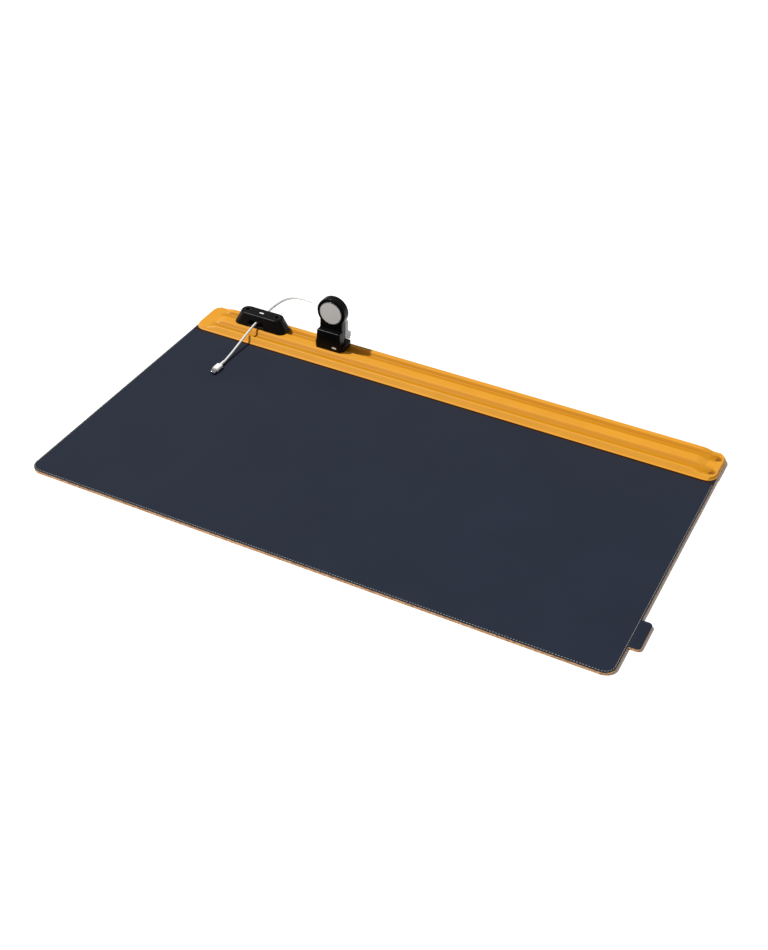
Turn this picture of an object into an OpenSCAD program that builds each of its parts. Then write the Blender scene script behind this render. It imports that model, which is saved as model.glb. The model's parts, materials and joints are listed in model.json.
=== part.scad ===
// Charging desk mat: a leather-topped work mat with a moulded accessory rail along its rear
// edge, a cable dock and a watch-charging stand that slide along the rail, and the dock's lead.
// +X runs along the front edge, +Y to the rear, +Z up. The origin is the middle of the
// footprint of the mat with its tab, on the surface that the mat lies on.

/* [Mat] */
// Width along the front edge
mat_w = 625; // [560:5:900]
// Depth from the front edge to the rear edge
mat_d = 359; // [340:1:450]
// Thickness of the leather top layer
leather_t = 1.0; // [0.8:0.1:1.5]
// Thickness of the cork base layer
base_t = 3.0; // [2.4:0.1:4]
// Thickness of the stiff sheet let into the base layer
core_t = 0.6; // [0.4:0.1:0.8]
// Radius of the mat's corners
mat_r = 12; // [6:1:18]
// Distance from the edge to the line of stitches
stitch_in = 2.2; // [1.8:0.1:5]
// How far the tab sticks out of the right edge
tab_reach = 11; // [6:1:20]
// Length of the tab along the right edge
tab_l = 38; // [20:1:60]
// Middle of the tab, from the front edge
tab_y = 60.5; // [40:0.5:120]

/* [Rail] */
// Depth of the rail, from its front lip to the mat's rear edge
rail_d = 52; // [52:0.5:54]
// Height of the ridge and rims above the mat
rail_h = 6; // [5.5:0.1:7]
// Height of the flat ends above the mat
end_h = 3.5; // [3:0.1:4]
// Length of each flat end
end_l = 16; // [12:1:22]
// Length of the slope from a flat end up to the full height
slope_l = 14; // [8:1:20]
// Thickness of the thin flange round the rail
flange_t = 0.9; // [0.7:0.1:1.2]
// Width of the flange at the ends
flange_w = 1.2; // [1:0.1:4]
// Height of the channel floors above the mat
floor_h = 2.2; // [2:0.1:2.6]

/* [Dock] */
// Middle of the dock at rest, from the mat's left edge
dock_x = 72.5; // [60:0.5:90]
// Length of the dock at its foot
dock_l = 67; // [60:1:80]
// Height of the dock above the ridge
dock_h = 16; // [14:0.5:22]
// Distance between the two sockets in the top
socket_gap = 38.5; // [36:0.5:44]
// Clear radius of a socket, inside its sleeve
socket_r = 3.1; // [2.5:0.1:3.2]
// Width of the cable arch
arch_w = 21; // [18:1:22]

/* [Watch stand] */
// Middle of the stand at rest, from the mat's left edge
stand_x = 165; // [160:1:400]
// Height of the column above the ridge
column_h = 24; // [18:1:26]
// Height of the charging head's centre above the mat
head_z = 51; // [48:0.5:60]
// Radius of the charging head
head_r = 17.5; // [16.5:0.5:22]
// Radius of the charging puck
puck_r = 13.9; // [12:0.1:14]

/* [Lead] */
// Diameter of the dock's charging lead
lead_d = 2.4; // [2.2:0.1:3]

/* [Hidden] */

mat_t = leather_t + base_t;
rail_y = mat_d - rail_d;
ridge_z = mat_t + rail_h;
origin_x = (mat_w + tab_reach) / 2;
origin_y = mat_d / 2;

// Places that modules share, from the rail's front lip
crest = [6.4, 7.6];
front_floor = [9.6, 17.6];
ridge = [20.2, 32.6];
rear_floor = [35, 41.4];
rear_rim = [43.4, 48.6];
rail_mid_ridge = (ridge[0] + ridge[1]) / 2;

// Layers inside the rail, above the mat
tape_t = 0.3;
plate_t = 1.0;
plate_in = 4;
strip_z = [2.9, 4.4];
strip_t = strip_z[1] - strip_z[0];
strip_y = [21.8, 31];
strip_end = 34;
screw_r = 1.1;
screw_clear = 0.05;
head_screw_r = 2.1;
rail_screw_y = [6.6, 45.7];
rail_screw_n = 6;
rail_screw_top = 3.6;
pocket_r = 4;
pocket_x = mat_w - 7.5;
channel_start = 15;

// Gap between a sliding module and the rail
slide_gap = 0.3;
pad_t = 0.4;
module_z = ridge_z + slide_gap + pad_t;
rib_side_gap = 0.5;

module placed() translate([-origin_x, -origin_y, 0]) children();

// ---- shared shapes ----

function unit(v) = v / norm(v);
// Points of a round corner at p1, between the lines to p0 and p2
function corner(p0, p1, p2, r, n = 5) = r == 0 ? [p1] :
    let (u = unit(p0 - p1), v = unit(p2 - p1), half = acos(u * v) / 2,
         centre = p1 + unit(u + v) * r / sin(half),
         a = p1 + u * r / tan(half) - centre, b = p1 + v * r / tan(half) - centre)
    [for (i = [0 : n]) centre + r * unit(a * (n - i) / n + b * i / n)];
// An outline whose points are [x, y, corner radius]
function rounded(p) = [for (i = [0 : len(p) - 1])
    let (q = p[(i + len(p) - 1) % len(p)], s = p[(i + 1) % len(p)])
    each corner([q[0], q[1]], [p[i][0], p[i][1]], [s[0], s[1]], p[i][2])];

module rounded_rect(x0, y0, x1, y1, r) {
    polygon(rounded([[x0, y0, r], [x1, y0, r], [x1, y1, r], [x0, y1, r]]));
}

module slab(x0, y0, x1, y1, r, z, h) {
    translate([0, 0, z]) linear_extrude(h) rounded_rect(x0, y0, x1, y1, r);
}

// A block whose sides lean in: a foot rectangle, a top rectangle and a softened top edge
module leaning_block(foot, top, r, z0, z1, soft) {
    hull() {
        slab(foot[0], foot[1], foot[2], foot[3], r, z0, 0.5);
        slab(top[0], top[1], top[2], top[3], r, z1 - soft - 0.01, 0.01);
        slab(top[0] + soft * 0.3, top[1] + soft * 0.3, top[2] - soft * 0.3, top[3] - soft * 0.3,
            r, z1 - soft * 0.35, 0.01);
        slab(top[0] + soft, top[1] + soft, top[2] - soft, top[3] - soft, r * 0.8, z1 - 0.01, 0.01);
    }
}

// Rings of a tube along a route, each in the plane across the route
function along(p, i) = unit(p[min(i + 1, len(p) - 1)] - p[max(i - 1, 0)]);
function across(t) = unit(cross(t, abs(t[2]) > 0.9 ? [1, 0, 0] : [0, 0, 1]));
module tube(p, d, sides = 8) {
    n = len(p);
    rings = [for (i = [0 : n - 1]) let (t = along(p, i), u = across(t), v = cross(u, t))
        for (k = [0 : sides - 1]) p[i] + d / 2 * (cos(360 * k / sides) * u + sin(360 * k / sides) * v)];
    walls = [for (i = [0 : n - 2]) for (k = [0 : sides - 1]) let (m = (k + 1) % sides)
        each [[i * sides + k, i * sides + m, (i + 1) * sides + m],
              [i * sides + k, (i + 1) * sides + m, (i + 1) * sides + k]]];
    ends = [[for (k = [sides - 1 : -1 : 0]) k], [for (k = [0 : sides - 1]) (n - 1) * sides + k]];
    polyhedron(rings, concat(walls, ends), convexity = 10);
}

// ---- mat ----

module mat_outline(inset = 0) {
    rounded_rect(inset, inset, mat_w - inset, mat_d - inset, mat_r - inset);
}

module tab_outline() {
    translate([0, tab_y]) rounded_rect(mat_w - 8, -tab_l / 2, mat_w + tab_reach, tab_l / 2, 4);
}

module mat_leather() color("#33394a") placed() {
    translate([0, 0, base_t]) linear_extrude(leather_t) {
        mat_outline();
        tab_outline();
    }
}

core_in = 7;
module mat_core() color("#8a8a86") placed() {
    translate([0, 0, base_t - core_t]) linear_extrude(core_t)
        rounded_rect(core_in, core_in, mat_w - core_in, mat_d - core_in, mat_r - 4);
}

module mat_base() color("#c8966a") placed() difference() {
    linear_extrude(base_t) {
        mat_outline();
        tab_outline();
    }
    translate([0, 0, base_t - core_t]) linear_extrude(core_t + 1)
        rounded_rect(core_in, core_in, mat_w - core_in, mat_d - core_in, mat_r - 4);
}

// The line of stitches, as one low bead from the rail round the front and back to the rail
stitch_w = 0.7;
stitch_t = 0.35;
module edge_stitching() color("#cfcabf") placed() translate([0, 0, mat_t])
    linear_extrude(stitch_t) difference() {
        rounded_rect(stitch_in - stitch_w / 2, stitch_in - stitch_w / 2,
            mat_w - stitch_in + stitch_w / 2, mat_d, mat_r - stitch_in);
        rounded_rect(stitch_in + stitch_w / 2, stitch_in + stitch_w / 2,
            mat_w - stitch_in - stitch_w / 2, mat_d + 20, mat_r - stitch_in);
        translate([-1, rail_y - 0.5]) square([mat_w + 2, rail_d + 40]);
    }

// ---- rail ----

// Section across the rail: [depth from the front lip, height above the mat, corner radius]
section = [[0, 0, 0], [rail_d, 0, 0], [rail_d, flange_t, 0.4], [rear_rim[1] + 1.4, flange_t + 0.1, 0.8],
    [rear_rim[1] + 0.6, rail_h, 1], [rear_rim[0], rail_h, 0.8], [rear_floor[1], floor_h, 1.6],
    [rear_floor[0], floor_h, 1.6], [ridge[1], rail_h, 0.8], [ridge[0], rail_h, 0.8],
    [front_floor[1], floor_h, 2], [front_floor[0], floor_h, 2], [crest[1], rail_h, 0.7],
    [crest[0], rail_h, 0.9], [1.6, flange_t + 0.1, 0.8], [0, flange_t, 0.4]];

module along_x(x0, x1) translate([x0, 0, 0]) rotate([90, 0, 90]) linear_extrude(x1 - x0) children();
module rail_plan(inset) rounded_rect(inset, inset, mat_w - inset, rail_d - inset, 12 - inset);

module rail_solid() {
    linear_extrude(flange_t) rail_plan(0);
    intersection() {
        along_x(0, mat_w) polygon(rounded(section));
        linear_extrude(rail_h + 1) rail_plan(flange_w);
        translate([0, rail_d + 1, 0]) rotate([90, 0, 0]) linear_extrude(rail_d + 2)
            polygon([[0, -1], [mat_w, -1], [mat_w, end_h], [mat_w - end_l, end_h],
                [mat_w - end_l - slope_l, rail_h + 1], [end_l + slope_l, rail_h + 1], [end_l, end_h],
                [0, end_h]]);
    }
    // flat ends, in which the channels stop
    for (end = [[flange_w, channel_start], [pocket_x, mat_w - flange_w]])
        intersection() {
            translate([end[0], 0, 0]) cube([end[1] - end[0], rail_d, end_h]);
            linear_extrude(end_h) rail_plan(flange_w);
            along_x(0, mat_w) polygon([[1.9, 0], [rail_d - 2, 0], [rear_rim[1] + 0.9, end_h], [4.5, end_h]]);
        }
}

module rail_shell() color("#e6a030") placed() translate([0, rail_y, mat_t]) difference() {
    rail_solid();
    // deep round pockets at the right-hand end of each channel
    for (y = [(front_floor[0] + front_floor[1]) / 2, (rear_floor[0] + rear_floor[1]) / 2])
        translate([pocket_x, y, 0.8]) cylinder(r = pocket_r, h = rail_h, $fn = 48);
    // recess for the tape and the base plate
    translate([0, 0, -1]) linear_extrude(1 + tape_t + plate_t) base_plate_plan(0);
    // space under the ridge for the steel strip
    translate([strip_end - 0.5, strip_y[0] - 0.2, 0])
        cube([mat_w - 2 * strip_end + 1, strip_y[1] - strip_y[0] + 0.4, strip_z[1]]);
    rail_screw_places() cylinder(r = screw_r + screw_clear, h = rail_screw_top + 0.4, $fn = 24);
}

module base_plate_plan(gap) {
    x_end = 20;
    rounded_rect(plate_in + gap, plate_in + gap, mat_w - x_end - gap, rail_d - plate_in - gap, 5 - gap);
}

module rail_screw_places() {
    for (i = [0 : rail_screw_n - 1]) for (y = rail_screw_y)
        translate([40 + i * (mat_w - 80) / (rail_screw_n - 1), y, 0]) children();
}

module rail_base() color("#2b2b2d") placed() translate([0, rail_y, mat_t]) difference() {
    union() {
        translate([0, 0, tape_t]) linear_extrude(plate_t) base_plate_plan(0.15);
        // rib that holds the steel strip up against the ridge
        translate([strip_end, strip_y[0], tape_t + plate_t - 0.1])
            cube([mat_w - 2 * strip_end, strip_y[1] - strip_y[0], strip_z[0] - tape_t - plate_t + 0.1]);
    }
    rail_screw_places() {
        cylinder(r = screw_r + screw_clear, h = 5, $fn = 24);
        translate([0, 0, tape_t - 0.01]) cylinder(r1 = head_screw_r + 0.06, r2 = screw_r + screw_clear,
            h = 0.95, $fn = 24);
    }
}

module rail_steel_strip() color("#9aa0a6") placed() translate([0, rail_y, mat_t])
    translate([strip_end, strip_y[0], strip_z[0]])
        cube([mat_w - 2 * strip_end, strip_y[1] - strip_y[0], strip_t]);

module rail_tape() color("#e8e4d8") placed() translate([0, rail_y, mat_t])
    linear_extrude(tape_t) base_plate_plan(0.6);

module rail_screws() color("#b5b8bc") placed() translate([0, rail_y, mat_t]) rail_screw_places()
    rotate_extrude($fn = 24) polygon([[0, tape_t + 0.05], [head_screw_r - 0.05, tape_t + 0.05],
        [screw_r, tape_t + 0.98], [screw_r, rail_screw_top], [0, rail_screw_top]]);

// ---- parts that both modules share ----

rib_y = [rear_floor[0] + rib_side_gap, rear_floor[1] - rib_side_gap];
rib_z = floor_h + 0.6;
pad_y = [28, 33.2];

// A foot plate with the rib that runs in the rear channel, and holes for two screws
plate_h = 2;
module foot_plate(x0, x1, y0, y1, r, screws) difference() {
    union() {
        slab(x0, rail_y + y0, x1, rail_y + y1, r, module_z, plate_h);
        translate([x0 + 3, rail_y + rib_y[0], mat_t + rib_z])
            cube([x1 - x0 - 6, rib_y[1] - rib_y[0], module_z - mat_t - rib_z + 0.5]);
    }
    for (s = screws) translate([s[0], rail_y + s[1], mat_t]) {
        cylinder(r = 0.95, h = module_z, $fn = 24);
        cylinder(r = 1.8, h = module_z + 0.95 - mat_t, $fn = 24);
    }
}

// A pan-head screw that comes up through a foot plate
module module_screw(x, y, top) translate([x, rail_y + y, 0]) rotate_extrude($fn = 24)
    polygon([[0, module_z + 0.1], [1.7, module_z + 0.1], [1.7, module_z + 0.9], [0.9, module_z + 0.9],
        [0.9, top], [0, top]]);

// ---- cable dock ----

dock_y = [23.2, 45.8];
dock_top_z = ridge_z + dock_h;
dock_lean = [6.5, 2.6];
arch_x = dock_x - 3.2;
arch_h = 8.4;
dock_wall = 2;
socket_y = 35;
socket_depth = 8;
sleeve_t = 0.9;
sockets = [dock_x - socket_gap / 2, dock_x + socket_gap / 2];
dock_halves = [[dock_x - dock_l / 2 + 3.2, arch_x - arch_w / 2 - 2.2],
    [arch_x + arch_w / 2 + 2.2, dock_x + dock_l / 2 - 3.2]];
// The part of each half that is hollow, clear of the leaning ends
dock_hollows = [[dock_halves[0][0] + 5.2, dock_halves[0][1]], [dock_halves[1][0], dock_halves[1][1] - 5.2]];

module dock_block(inset, top_inset) {
    leaning_block([dock_x - dock_l / 2 + inset, rail_y + dock_y[0] + inset, dock_x + dock_l / 2 - inset,
            rail_y + dock_y[1] - inset],
        [dock_x - dock_l / 2 + dock_lean[0] + inset, rail_y + dock_y[0] + dock_lean[1] + inset,
            dock_x + dock_l / 2 - dock_lean[0] - inset, rail_y + dock_y[1] - dock_lean[1] - inset],
        8 - inset, module_z - pad_t, dock_top_z - top_inset, 1.6);
}

// The arch that the cables pass under, cut along Y
module arch(grow) translate([arch_x, rail_y + dock_y[1] + 5, module_z - 3])
    rotate([90, 0, 0]) linear_extrude(dock_y[1] - dock_y[0] + 10)
        polygon(rounded([[-arch_w / 2 - grow, -3, 0], [arch_w / 2 + grow, -3, 0],
            [arch_w / 2 + grow, arch_h + 3 + grow, 4], [-arch_w / 2 - grow, arch_h + 3 + grow, 4]]));

module dock_shell() color("#17181a") placed() difference() {
    dock_block(0, 0);
    // two hollows, either side of the arch, that the foot plates close
    for (h = dock_hollows) difference() {
        slab(h[0], rail_y + dock_y[0] + 4.8, h[1], rail_y + dock_y[1] - 4.8, 2.5, module_z - 2,
            dock_top_z - module_z - dock_wall);
        for (s = dock_screw_places) translate([s[0], rail_y + s[1], module_z + plate_h + 0.1])
            cylinder(r = 2.2, h = 20, $fn = 24);
        for (x = sockets) translate([x, rail_y + socket_y, module_z + plate_h + 1.5])
            cylinder(r = socket_r + sleeve_t + 1.4, h = 20, $fn = 48);
    }
    slab(dock_halves[0][0], rail_y + dock_y[0] + 4.2, dock_halves[1][1], rail_y + dock_y[1] - 4.2, 2.5,
        module_z - 2, plate_h + 2.05);
    arch(0);
    for (x = sockets) translate([x, rail_y + socket_y, dock_top_z - socket_depth - 0.9])
        cylinder(r = socket_r + sleeve_t, h = 20, $fn = 48);
    for (s = dock_screw_places) translate([s[0], rail_y + s[1], module_z])
        cylinder(r = 0.95, h = dock_screw_top - module_z + 0.3, $fn = 24);
}

dock_screw_y = 38.2;
dock_screw_top = dock_top_z - socket_depth - 1.4;
dock_screw_places = [for (h = dock_halves) each [[h[0] + 3.2, dock_screw_y], [h[1] - 3.2, dock_screw_y]]];

// Two foot plates joined by a bridge, whose sills close the foot of the arch front and rear
module dock_base() color("#1d1e20") placed() {
    for (i = [0, 1]) foot_plate(dock_halves[i][0] + 0.15, dock_halves[i][1] - 0.15,
        dock_y[0] + 4.35, dock_y[1] - 4.35, 2.35, [dock_screw_places[2 * i], dock_screw_places[2 * i + 1]]);
    translate([dock_halves[0][1] - 1.2, rail_y + dock_y[0] + 4.35, module_z])
        cube([dock_halves[1][0] - dock_halves[0][1] + 2.4, dock_y[1] - dock_y[0] - 8.7, plate_h]);
    translate([arch_x - arch_w / 2 + 0.15, rail_y + dock_y[0] + 0.5, module_z - pad_t])
        cube([arch_w - 0.3, dock_y[1] - dock_y[0] - 1, plate_h + pad_t]);
}

module dock_magnets() color("#c8c9cc") placed()
    for (h = dock_hollows) translate([(h[0] + h[1]) / 2 - 4, rail_y + 29, module_z + plate_h + 0.02])
        cube([8, 4, 1.4]);

// A soft clip under the roof of the arch that grips the lead
grip_w = 8;
grip_l = 9.6;
lead_x = arch_x;
lead_z = mat_t + 12.8;
module dock_cable_grip() color("#26272a") placed() difference() {
    translate([arch_x - grip_w / 2, rail_y + dock_y[0] + 4, lead_z - 2.6])
        cube([grip_w, grip_l, module_z + arch_h - lead_z + 2.6]);
    translate([lead_x, rail_y, lead_z]) rotate([-90, 0, 0]) cylinder(d = lead_d, h = 60, $fn = 32);
    translate([lead_x - 0.9, rail_y, lead_z - 5]) cube([1.8, 60, 5]);
}

module dock_socket_sleeves() color("#0f0f10") placed() for (x = sockets)
    translate([x, rail_y + socket_y, dock_top_z - socket_depth - 0.9]) difference() {
        cylinder(r = socket_r + sleeve_t - 0.02, h = socket_depth + 0.8, $fn = 48);
        translate([0, 0, 0.8]) cylinder(r = socket_r, h = socket_depth + 1, $fn = 48);
    }

module dock_screws() color("#b5b8bc") placed()
    for (s = dock_screw_places) module_screw(s[0], s[1], dock_screw_top);

module dock_pads() color("#3a3b3e") placed() for (h = dock_halves)
    slab(h[0] + 1.2, rail_y + pad_y[0], h[1] - 1.2, rail_y + pad_y[1], 1.2, module_z - pad_t, pad_t);

// ---- watch stand ----

column_w = [32, 29];
column_y = [23.2, 35.4];
foot_w = 37;
foot_y = [26, 45.8];
foot_h = 7;
head_y = [30.5, 40.5];
head_zc = mat_t + head_z;
neck_w = 28;
cover_t = 2;
puck_depth = 6;
case_t = 0.8;
puck_front = 0.8;
puck_y = head_y[0] - puck_front;

// Outline of the head with its neck, in the plane across the rail
module paddle(grow, foot_z) {
    translate([0, head_zc]) circle(r = head_r + grow, $fn = 96);
    translate([-neck_w / 2 - grow, foot_z]) square([neck_w + 2 * grow, head_zc - foot_z]);
}

module across_y(y0, y1) translate([stand_x, rail_y + y1, 0]) rotate([90, 0, 0])
    linear_extrude(y1 - y0) children();

module stand_solid() {
    leaning_block([stand_x - column_w[0] / 2, rail_y + column_y[0], stand_x + column_w[0] / 2,
            rail_y + column_y[1]],
        [stand_x - column_w[1] / 2, rail_y + column_y[0], stand_x + column_w[1] / 2,
            rail_y + column_y[1]],
        1.6, module_z - pad_t, ridge_z + column_h, 1.2);
    slab(stand_x - foot_w / 2, rail_y + foot_y[0], stand_x + foot_w / 2, rail_y + foot_y[1], 3,
        module_z - pad_t, foot_h);
    across_y(head_y[0], head_y[1] - cover_t) paddle(0, ridge_z + 1);
}

module stand_body() color("#141517") placed() difference() {
    stand_solid();
    // hollow under the column and foot, closed by the foot plate
    slab(stand_x - 12, rail_y + column_y[0] + 2, stand_x + 12, rail_y + head_y[0] - 0.4, 1.5,
        module_z - 2, column_h - 2.5);
    slab(stand_x - foot_w / 2 + 2, rail_y + foot_y[0] + 2, stand_x + foot_w / 2 - 2,
        rail_y + foot_y[1] - 2, 2, module_z - 2, plate_h + 2.05);
    // seat of the puck, open to the front
    translate([stand_x, rail_y + head_y[0] - 3, head_zc]) rotate([-90, 0, 0])
        cylinder(r = puck_r + 0.05, h = puck_depth + 2.2, $fn = 96);
    // way for the puck's own cable, down the back of the neck
    translate([stand_x - 2, rail_y + head_y[0] + 4, module_z + foot_h + 2])
        cube([4, 20, head_zc - module_z - foot_h - 2]);
    // gland in the rear of the foot
    translate([stand_x, rail_y + foot_y[1] - 10, gland_z]) rotate([-90, 0, 0])
        cylinder(r = 2.6, h = 20, $fn = 32);
    for (s = stand_screw_places) translate([s[0], rail_y + s[1], module_z])
        cylinder(r = 0.95, h = foot_h - 1.6, $fn = 24);
}

gland_z = module_z + plate_h + 2.6;
stand_screw_places = [[stand_x - 14.5, 31], [stand_x + 14.5, 31], [stand_x - 14.5, 41.6],
    [stand_x + 14.5, 41.6]];

module stand_back_cover() color("#191a1c") placed() difference() {
    across_y(head_y[1] - cover_t, head_y[1]) paddle(0, mat_t + rail_h + foot_h + 1);
    for (x = [-10, 10]) translate([stand_x + x, rail_y + head_y[1] - 5, ridge_z + foot_h + 6])
        rotate([-90, 0, 0]) cylinder(r = 1.1, h = 9, $fn = 24);
}

module stand_base() color("#1d1e20") placed() foot_plate(stand_x - foot_w / 2 + 2.15,
    stand_x + foot_w / 2 - 2.15, foot_y[0] + 2.15, foot_y[1] - 2.15, 1.85, stand_screw_places);

module stand_magnets() color("#c8c9cc") placed()
    for (x = [-6, 6]) translate([stand_x + x - 4, rail_y + 28, module_z + plate_h + 0.02])
        cube([8, 1.8, 3]);

module stand_screws() color("#b5b8bc") placed() {
    for (s = stand_screw_places) module_screw(s[0], s[1], module_z + foot_h - 2.4);
    for (x = [-10, 10]) translate([stand_x + x, rail_y + head_y[1] - cover_t, ridge_z + foot_h + 6])
        rotate([-90, 0, 0]) cylinder(r = 1.05, h = cover_t - 0.2, $fn = 24);
}

module stand_pads() color("#3a3b3e") placed() slab(stand_x - 12, rail_y + pad_y[0] + 0.6, stand_x + 12,
    rail_y + pad_y[1], 1.2, module_z - pad_t, pad_t);

module stand_cable_gland() color("#0f0f10") placed()
    translate([stand_x, rail_y + foot_y[1] - 4, gland_z]) rotate([-90, 0, 0]) difference() {
        cylinder(r = 2.58, h = 4.6, $fn = 32);
        translate([0, 0, -1]) cylinder(r = 1.6, h = 8, $fn = 32);
    }

// The puck: a metal case, a flat charging face, and the parts inside
module in_puck(y) translate([stand_x, rail_y + puck_y + y, head_zc]) rotate([-90, 0, 0]) children();

module puck_case() color("#c3c5c8") placed() in_puck(0) difference() {
    cylinder(r = puck_r, h = puck_depth, $fn = 96);
    translate([0, 0, -1]) cylinder(r = puck_r - case_t, h = puck_depth, $fn = 96);
}

face_t = 1.2;
module puck_face() color("#f1f1ee") placed() in_puck(0)
    cylinder(r = puck_r - case_t - 0.02, h = face_t, $fn = 96);

module puck_magnet() color("#c8c9cc") placed() in_puck(face_t) cylinder(r = 4, h = 2, $fn = 48);

module puck_coil() color("#b87333") placed() in_puck(face_t) difference() {
    cylinder(r = 11.5, h = 0.9, $fn = 64);
    translate([0, 0, -1]) cylinder(r = 5, h = 3, $fn = 64);
}

module puck_ferrite() color("#3c3c3e") placed() in_puck(face_t + 0.9) difference() {
    cylinder(r = 12.2, h = 1, $fn = 64);
    translate([0, 0, -1]) cylinder(r = 4.3, h = 3, $fn = 64);
}

module puck_board() color("#1f6b45") placed() in_puck(face_t + 2.1)
    cylinder(r = 12.2, h = 0.8, $fn = 64);

// ---- the dock's lead ----

// From the connector's sleeve, up over the rail and into the dock; then out behind it
lead_front_route = [[71.4, 258.5, 6.5], [71.3, 262, 6.6], [71.1, 268, 7.2], [70.9, 275, 8.1],
    [70.6, 283, 9.3], [70.3, 291, 10.6], [70, 299, 11.9], [69.7, 307, 13.2], [69.5, 315, 14.5],
    [69.35, 322, 15.7], [69.3, 328, 16.5], [69.3, 332, 16.8], [69.3, 336, 16.8], [69.3, 341, 16.8]];
lead_rear_route = [[69.3, 341, 16.8], [69.3, 345, 16.8], [69, 350.5, 16.5], [67.6, 356, 15],
    [65.3, 361, 12.2], [62.8, 365.5, 9], [60.2, 369.8, 5.9], [57.6, 374, 3.5], [55.4, 379, 1.9],
    [54.2, 385, 1.2], [54, 392, 1.2], [54.4, 399, 1.2], [55.2, 406, 1.2], [56.6, 413, 1.2],
    [59.4, 419.5, 1.2], [64.2, 424.8, 1.2], [71, 428, 1.2], [79, 429, 1.2], [88, 428, 1.2],
    [98, 425.2, 1.2], [108, 421, 1.2], [117, 417, 1.3], [124.5, 414.7, 1.6], [130, 414, 1.9]];

// The unseen length, folded into a hank behind the stand
hank_at = [140, 388.5];
hank_turn = 28;
hank_run = 28;
hank_r = [7, 14.3];
hank_z = [0.7, 8.1];
module on_hank() translate([hank_at[0], hank_at[1], 0]) rotate(hank_turn) children();
module hank_outline(r) hull() for (s = [-1, 1]) translate([0, s * hank_run / 2]) circle(r = r, $fn = 48);

module lead_front() color("#f4f4f2") placed() tube(lead_front_route, lead_d);
module lead_rear() color("#f4f4f2") placed() tube(lead_rear_route, lead_d);
module lead_hank() color("#f4f4f2") placed() on_hank() translate([0, 0, hank_z[0]])
    linear_extrude(hank_z[1] - hank_z[0]) difference() {
        hank_outline(hank_r[1]);
        hank_outline(hank_r[0]);
    }

tail_x = 9.6;
plug_z = 11.2;
tail_route = [[tail_x, 14, 6.9], [tail_x, 11, 7.6], [tail_x, 8, 9], [tail_x, 5, 10.4],
    [tail_x, 2, plug_z]];
module lead_tail() color("#f4f4f2") placed() on_hank() tube(tail_route, lead_d);

tie_w = 8;
tie_t = 0.7;
module lead_tie() color("#e2e2df") placed() on_hank() difference() {
    translate([-hank_r[1] - tie_t, -tie_w / 2 - 2, 0])
        cube([hank_r[1] - hank_r[0] + 2 * tie_t, tie_w, hank_z[1] + tie_t]);
    translate([-hank_r[1], -tie_w, hank_z[0]])
        cube([hank_r[1] - hank_r[0], 2 * tie_w, hank_z[1] - hank_z[0]]);
}

// A small moulded plug body with its sleeve, along +Y from its metal tip's root
module plug_body(w, t, l, sleeve) {
    translate([0, l, 0]) rotate([90, 0, 0]) linear_extrude(l)
        rounded_rect(-w / 2, -t / 2, w / 2, t / 2, t * 0.4);
    translate([0, l - 0.01, 0]) rotate([-90, 0, 0]) cylinder(r1 = t * 0.42, r2 = lead_d / 2 + 0.3,
        h = sleeve, $fn = 32);
}

module plug_tip(w, t, l) rotate([90, 0, 0]) linear_extrude(l)
    rounded_rect(-w / 2, -t / 2, w / 2, t / 2, t * 0.45);

connector_at = [71.4, 239.5, 6.5];
module lead_connector() color("#f4f4f2") placed() translate(connector_at) plug_body(7.8, 4.5, 10, 9.5);
module lead_connector_tip() color("#c3c5c8") placed() translate(connector_at) plug_tip(6.7, 1.6, 6.6);

module at_plug() on_hank() translate([tail_x, -15, plug_z]) children();
module lead_plug() color("#f4f4f2") placed() at_plug() plug_body(9, 5.6, 11, 6);
module lead_plug_tip() color("#c3c5c8") placed() at_plug() plug_tip(8.3, 2.5, 6.5);

mat_leather();
mat_core();
mat_base();
edge_stitching();
rail_shell();
rail_base();
rail_steel_strip();
rail_tape();
rail_screws();
dock_shell();
dock_base();
dock_magnets();
dock_cable_grip();
dock_socket_sleeves();
dock_screws();
dock_pads();
stand_body();
stand_back_cover();
stand_base();
stand_magnets();
stand_screws();
stand_pads();
stand_cable_gland();
puck_case();
puck_face();
puck_coil();
puck_ferrite();
puck_magnet();
puck_board();
lead_front();
lead_rear();
lead_hank();
lead_tail();
lead_tie();
lead_connector();
lead_connector_tip();
lead_plug();
lead_plug_tip();
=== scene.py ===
"""The looks of a leather desk mat with a charging rail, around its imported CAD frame."""
import json
import math
import bpy
import numpy as np
from mathutils import Matrix, Vector


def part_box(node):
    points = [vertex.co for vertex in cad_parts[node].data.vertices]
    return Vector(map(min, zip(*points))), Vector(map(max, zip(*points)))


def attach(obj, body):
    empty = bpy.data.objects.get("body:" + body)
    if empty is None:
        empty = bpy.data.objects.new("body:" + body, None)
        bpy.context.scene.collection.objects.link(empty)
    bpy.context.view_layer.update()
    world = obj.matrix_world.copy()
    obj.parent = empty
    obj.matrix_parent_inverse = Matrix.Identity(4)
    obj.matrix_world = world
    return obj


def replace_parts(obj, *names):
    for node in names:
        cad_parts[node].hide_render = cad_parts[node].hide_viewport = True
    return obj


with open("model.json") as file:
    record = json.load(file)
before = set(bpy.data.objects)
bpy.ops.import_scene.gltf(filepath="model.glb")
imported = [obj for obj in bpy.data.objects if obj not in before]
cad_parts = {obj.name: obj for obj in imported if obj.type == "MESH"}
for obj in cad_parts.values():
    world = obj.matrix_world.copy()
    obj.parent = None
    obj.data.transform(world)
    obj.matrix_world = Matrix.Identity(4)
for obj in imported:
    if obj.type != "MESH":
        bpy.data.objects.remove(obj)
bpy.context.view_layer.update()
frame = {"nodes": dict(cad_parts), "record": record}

MM = 0.001
LEATHER_LOW, LEATHER_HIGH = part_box("mat_leather")
RAIL_LOW, RAIL_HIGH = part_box("rail_shell")

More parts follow.
